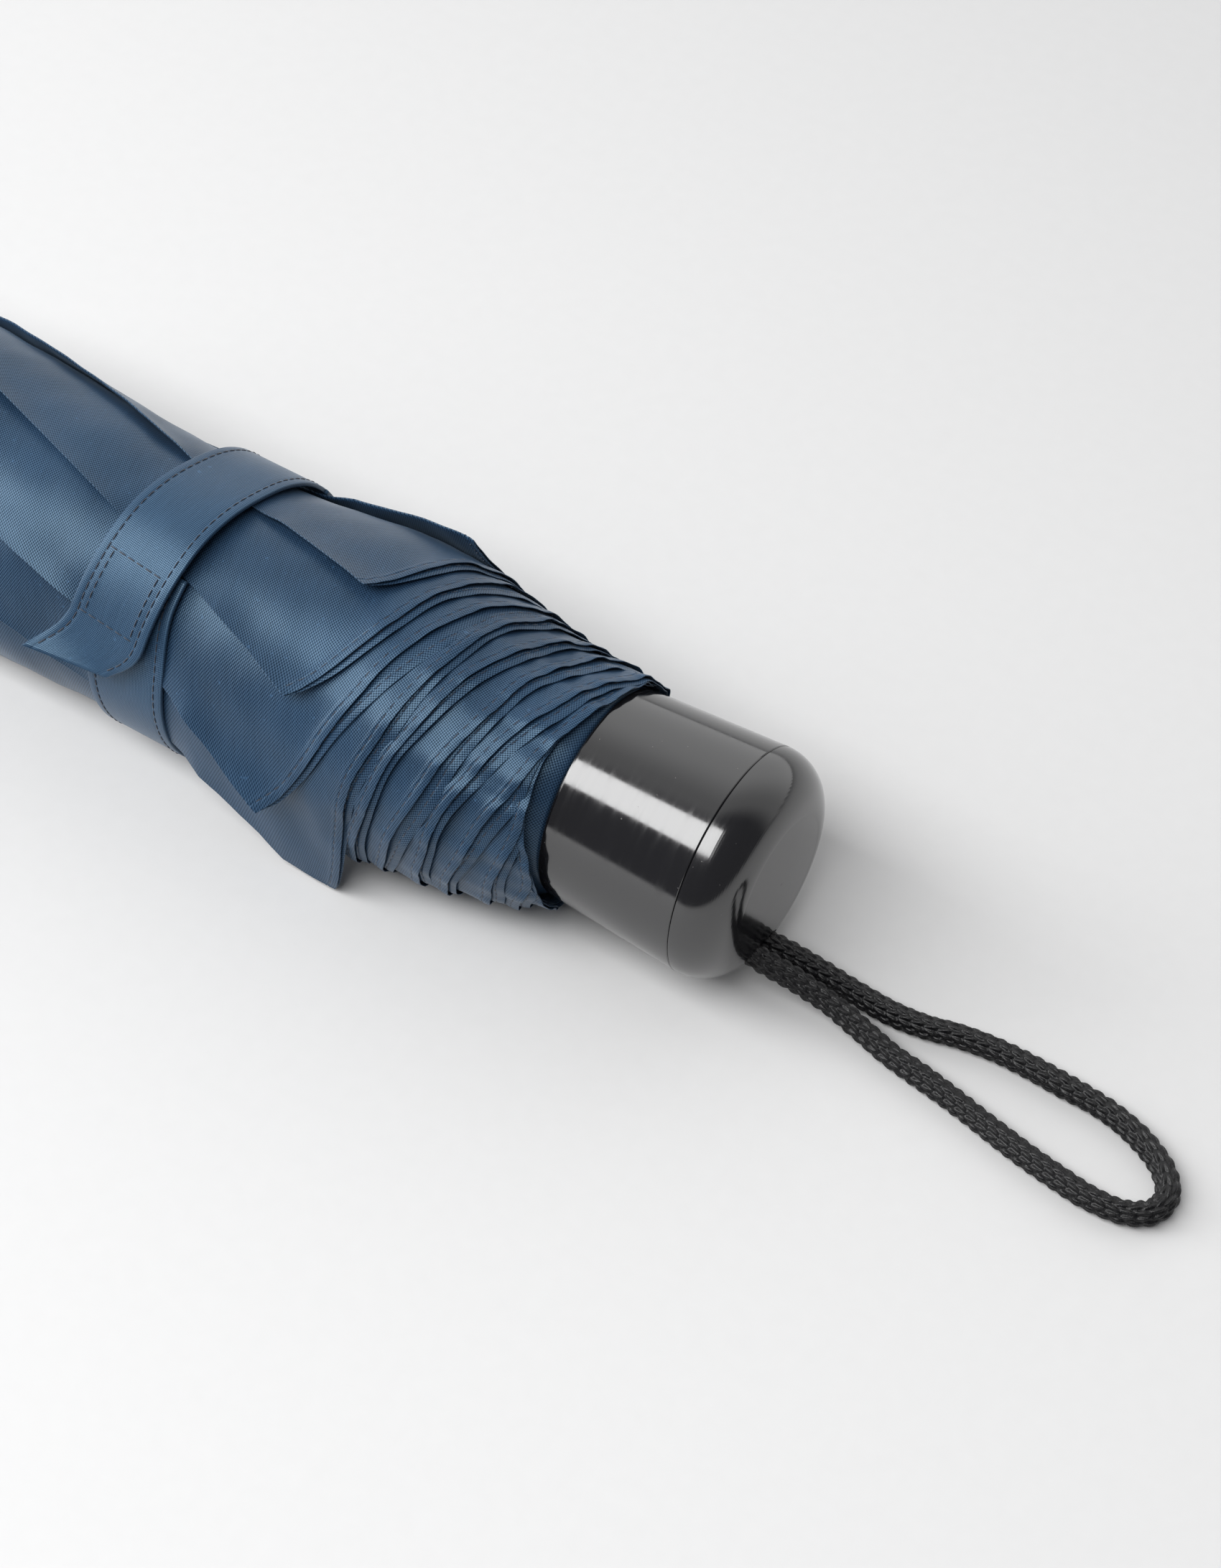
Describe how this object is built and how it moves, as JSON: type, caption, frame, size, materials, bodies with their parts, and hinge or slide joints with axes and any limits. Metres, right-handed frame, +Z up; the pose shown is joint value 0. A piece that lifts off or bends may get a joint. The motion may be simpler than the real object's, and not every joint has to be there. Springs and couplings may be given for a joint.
{
  "type": "compact telescopic umbrella",
  "caption": "Compact telescopic umbrella, rolled and strapped: navy cloth wound round a folding rib frame, a glossy black cup handle and a looped wrist cord.",
  "frame": {"origin": "on the surface that the closed umbrella lies on, straight below the middle of its closed length", "axes": "+X along the shaft towards the handle, +Z up, away from the surface that it lies on; the strap's free end is on the -Y side"},
  "size_m": [0.3149, 0.0574, 0.0478],
  "materials": {
    "handle_black": "high gloss, moulded",
    "inner_plastic": "satin, moulded",
    "cap_black": "gloss, moulded",
    "tube_steel": "plated, bright",
    "rib_steel": "pressed, satin",
    "spring_steel": "blued, satin",
    "canopy_cloth": "woven polyester with a soft sheen",
    "strap_cloth": "doubled woven polyester, stitched",
    "hook_loop": "hook-and-loop tape",
    "cord_black": "braided, slightly shiny"
  },
  "bodies": {
    "frame": {"upper_tube": "tube_steel", "top_notch": "inner_plastic", "notch_wire": "rib_steel", "top_cap": "cap_black", "cap_plug": "inner_plastic", "crown_patch": "canopy_cloth", "runner": "inner_plastic", "runner_wire": "rib_steel", "button_spring": "spring_steel", "inner_rib_1": "rib_steel", "inner_rib_2": "rib_steel", "inner_rib_3": "rib_steel", "inner_rib_4": "rib_steel", "inner_rib_5": "rib_steel", "inner_rib_6": "rib_steel", "inner_rib_7": "rib_steel", "inner_rib_8": "rib_steel", "stretcher_1": "rib_steel", "stretcher_2": "rib_steel", "stretcher_3": "rib_steel", "stretcher_4": "rib_steel", "stretcher_5": "rib_steel", "stretcher_6": "rib_steel", "stretcher_7": "rib_steel", "stretcher_8": "rib_steel", "middle_rib_1": "rib_steel", "middle_rib_2": "rib_steel", "middle_rib_3": "rib_steel", "middle_rib_4": "rib_steel", "middle_rib_5": "rib_steel", "middle_rib_6": "rib_steel", "middle_rib_7": "rib_steel", "middle_rib_8": "rib_steel", "outer_rib_1": "spring_steel", "outer_rib_2": "spring_steel", "outer_rib_3": "spring_steel", "outer_rib_4": "spring_steel", "outer_rib_5": "spring_steel", "outer_rib_6": "spring_steel", "outer_rib_7": "spring_steel", "outer_rib_8": "spring_steel", "rib_rivets": "rib_steel", "rib_tips": "inner_plastic", "canopy_roll": "canopy_cloth", "strap_band": "strap_cloth", "strap_loop_patch": "hook_loop"},
    "middle": {"middle_tube": "tube_steel", "middle_lock_spring": "spring_steel"},
    "handle": {"handle_grip": "handle_black", "handle_end_cap": "handle_black", "handle_core": "inner_plastic", "core_pin": "rib_steel", "cord_knot": "cord_black", "wrist_cord": "cord_black", "lower_tube": "tube_steel", "lower_lock_spring": "spring_steel"},
    "strap_end": {"strap_tab": "strap_cloth", "strap_hook_patch": "hook_loop"},
    "catch_button": {"runner_button": "spring_steel"}
  },
  "joints": [
    {"name": "middle_tube_slide", "type": "slide", "parent": "frame", "child": "middle", "axis": [1, 0, 0], "range_m": [0, 0.16]},
    {"name": "lower_tube_slide", "type": "slide", "parent": "middle", "child": "handle", "axis": [1, 0, 0], "range_m": [0, 0.15]},
    {"name": "strap_peel", "type": "hinge", "parent": "frame", "child": "strap_end", "pos_m": [0.008, -0.01221, 0.04446], "axis": [-1, 0, 0], "range_deg": [0, 100]},
    {"name": "catch_button_press", "type": "slide", "parent": "frame", "child": "catch_button", "axis": [0, 0, -1], "range_m": [0, 0.0012], "stiffness_N_per_m": 400, "springref_m": -0.001, "deforming": ["button_spring"]}
  ]
}
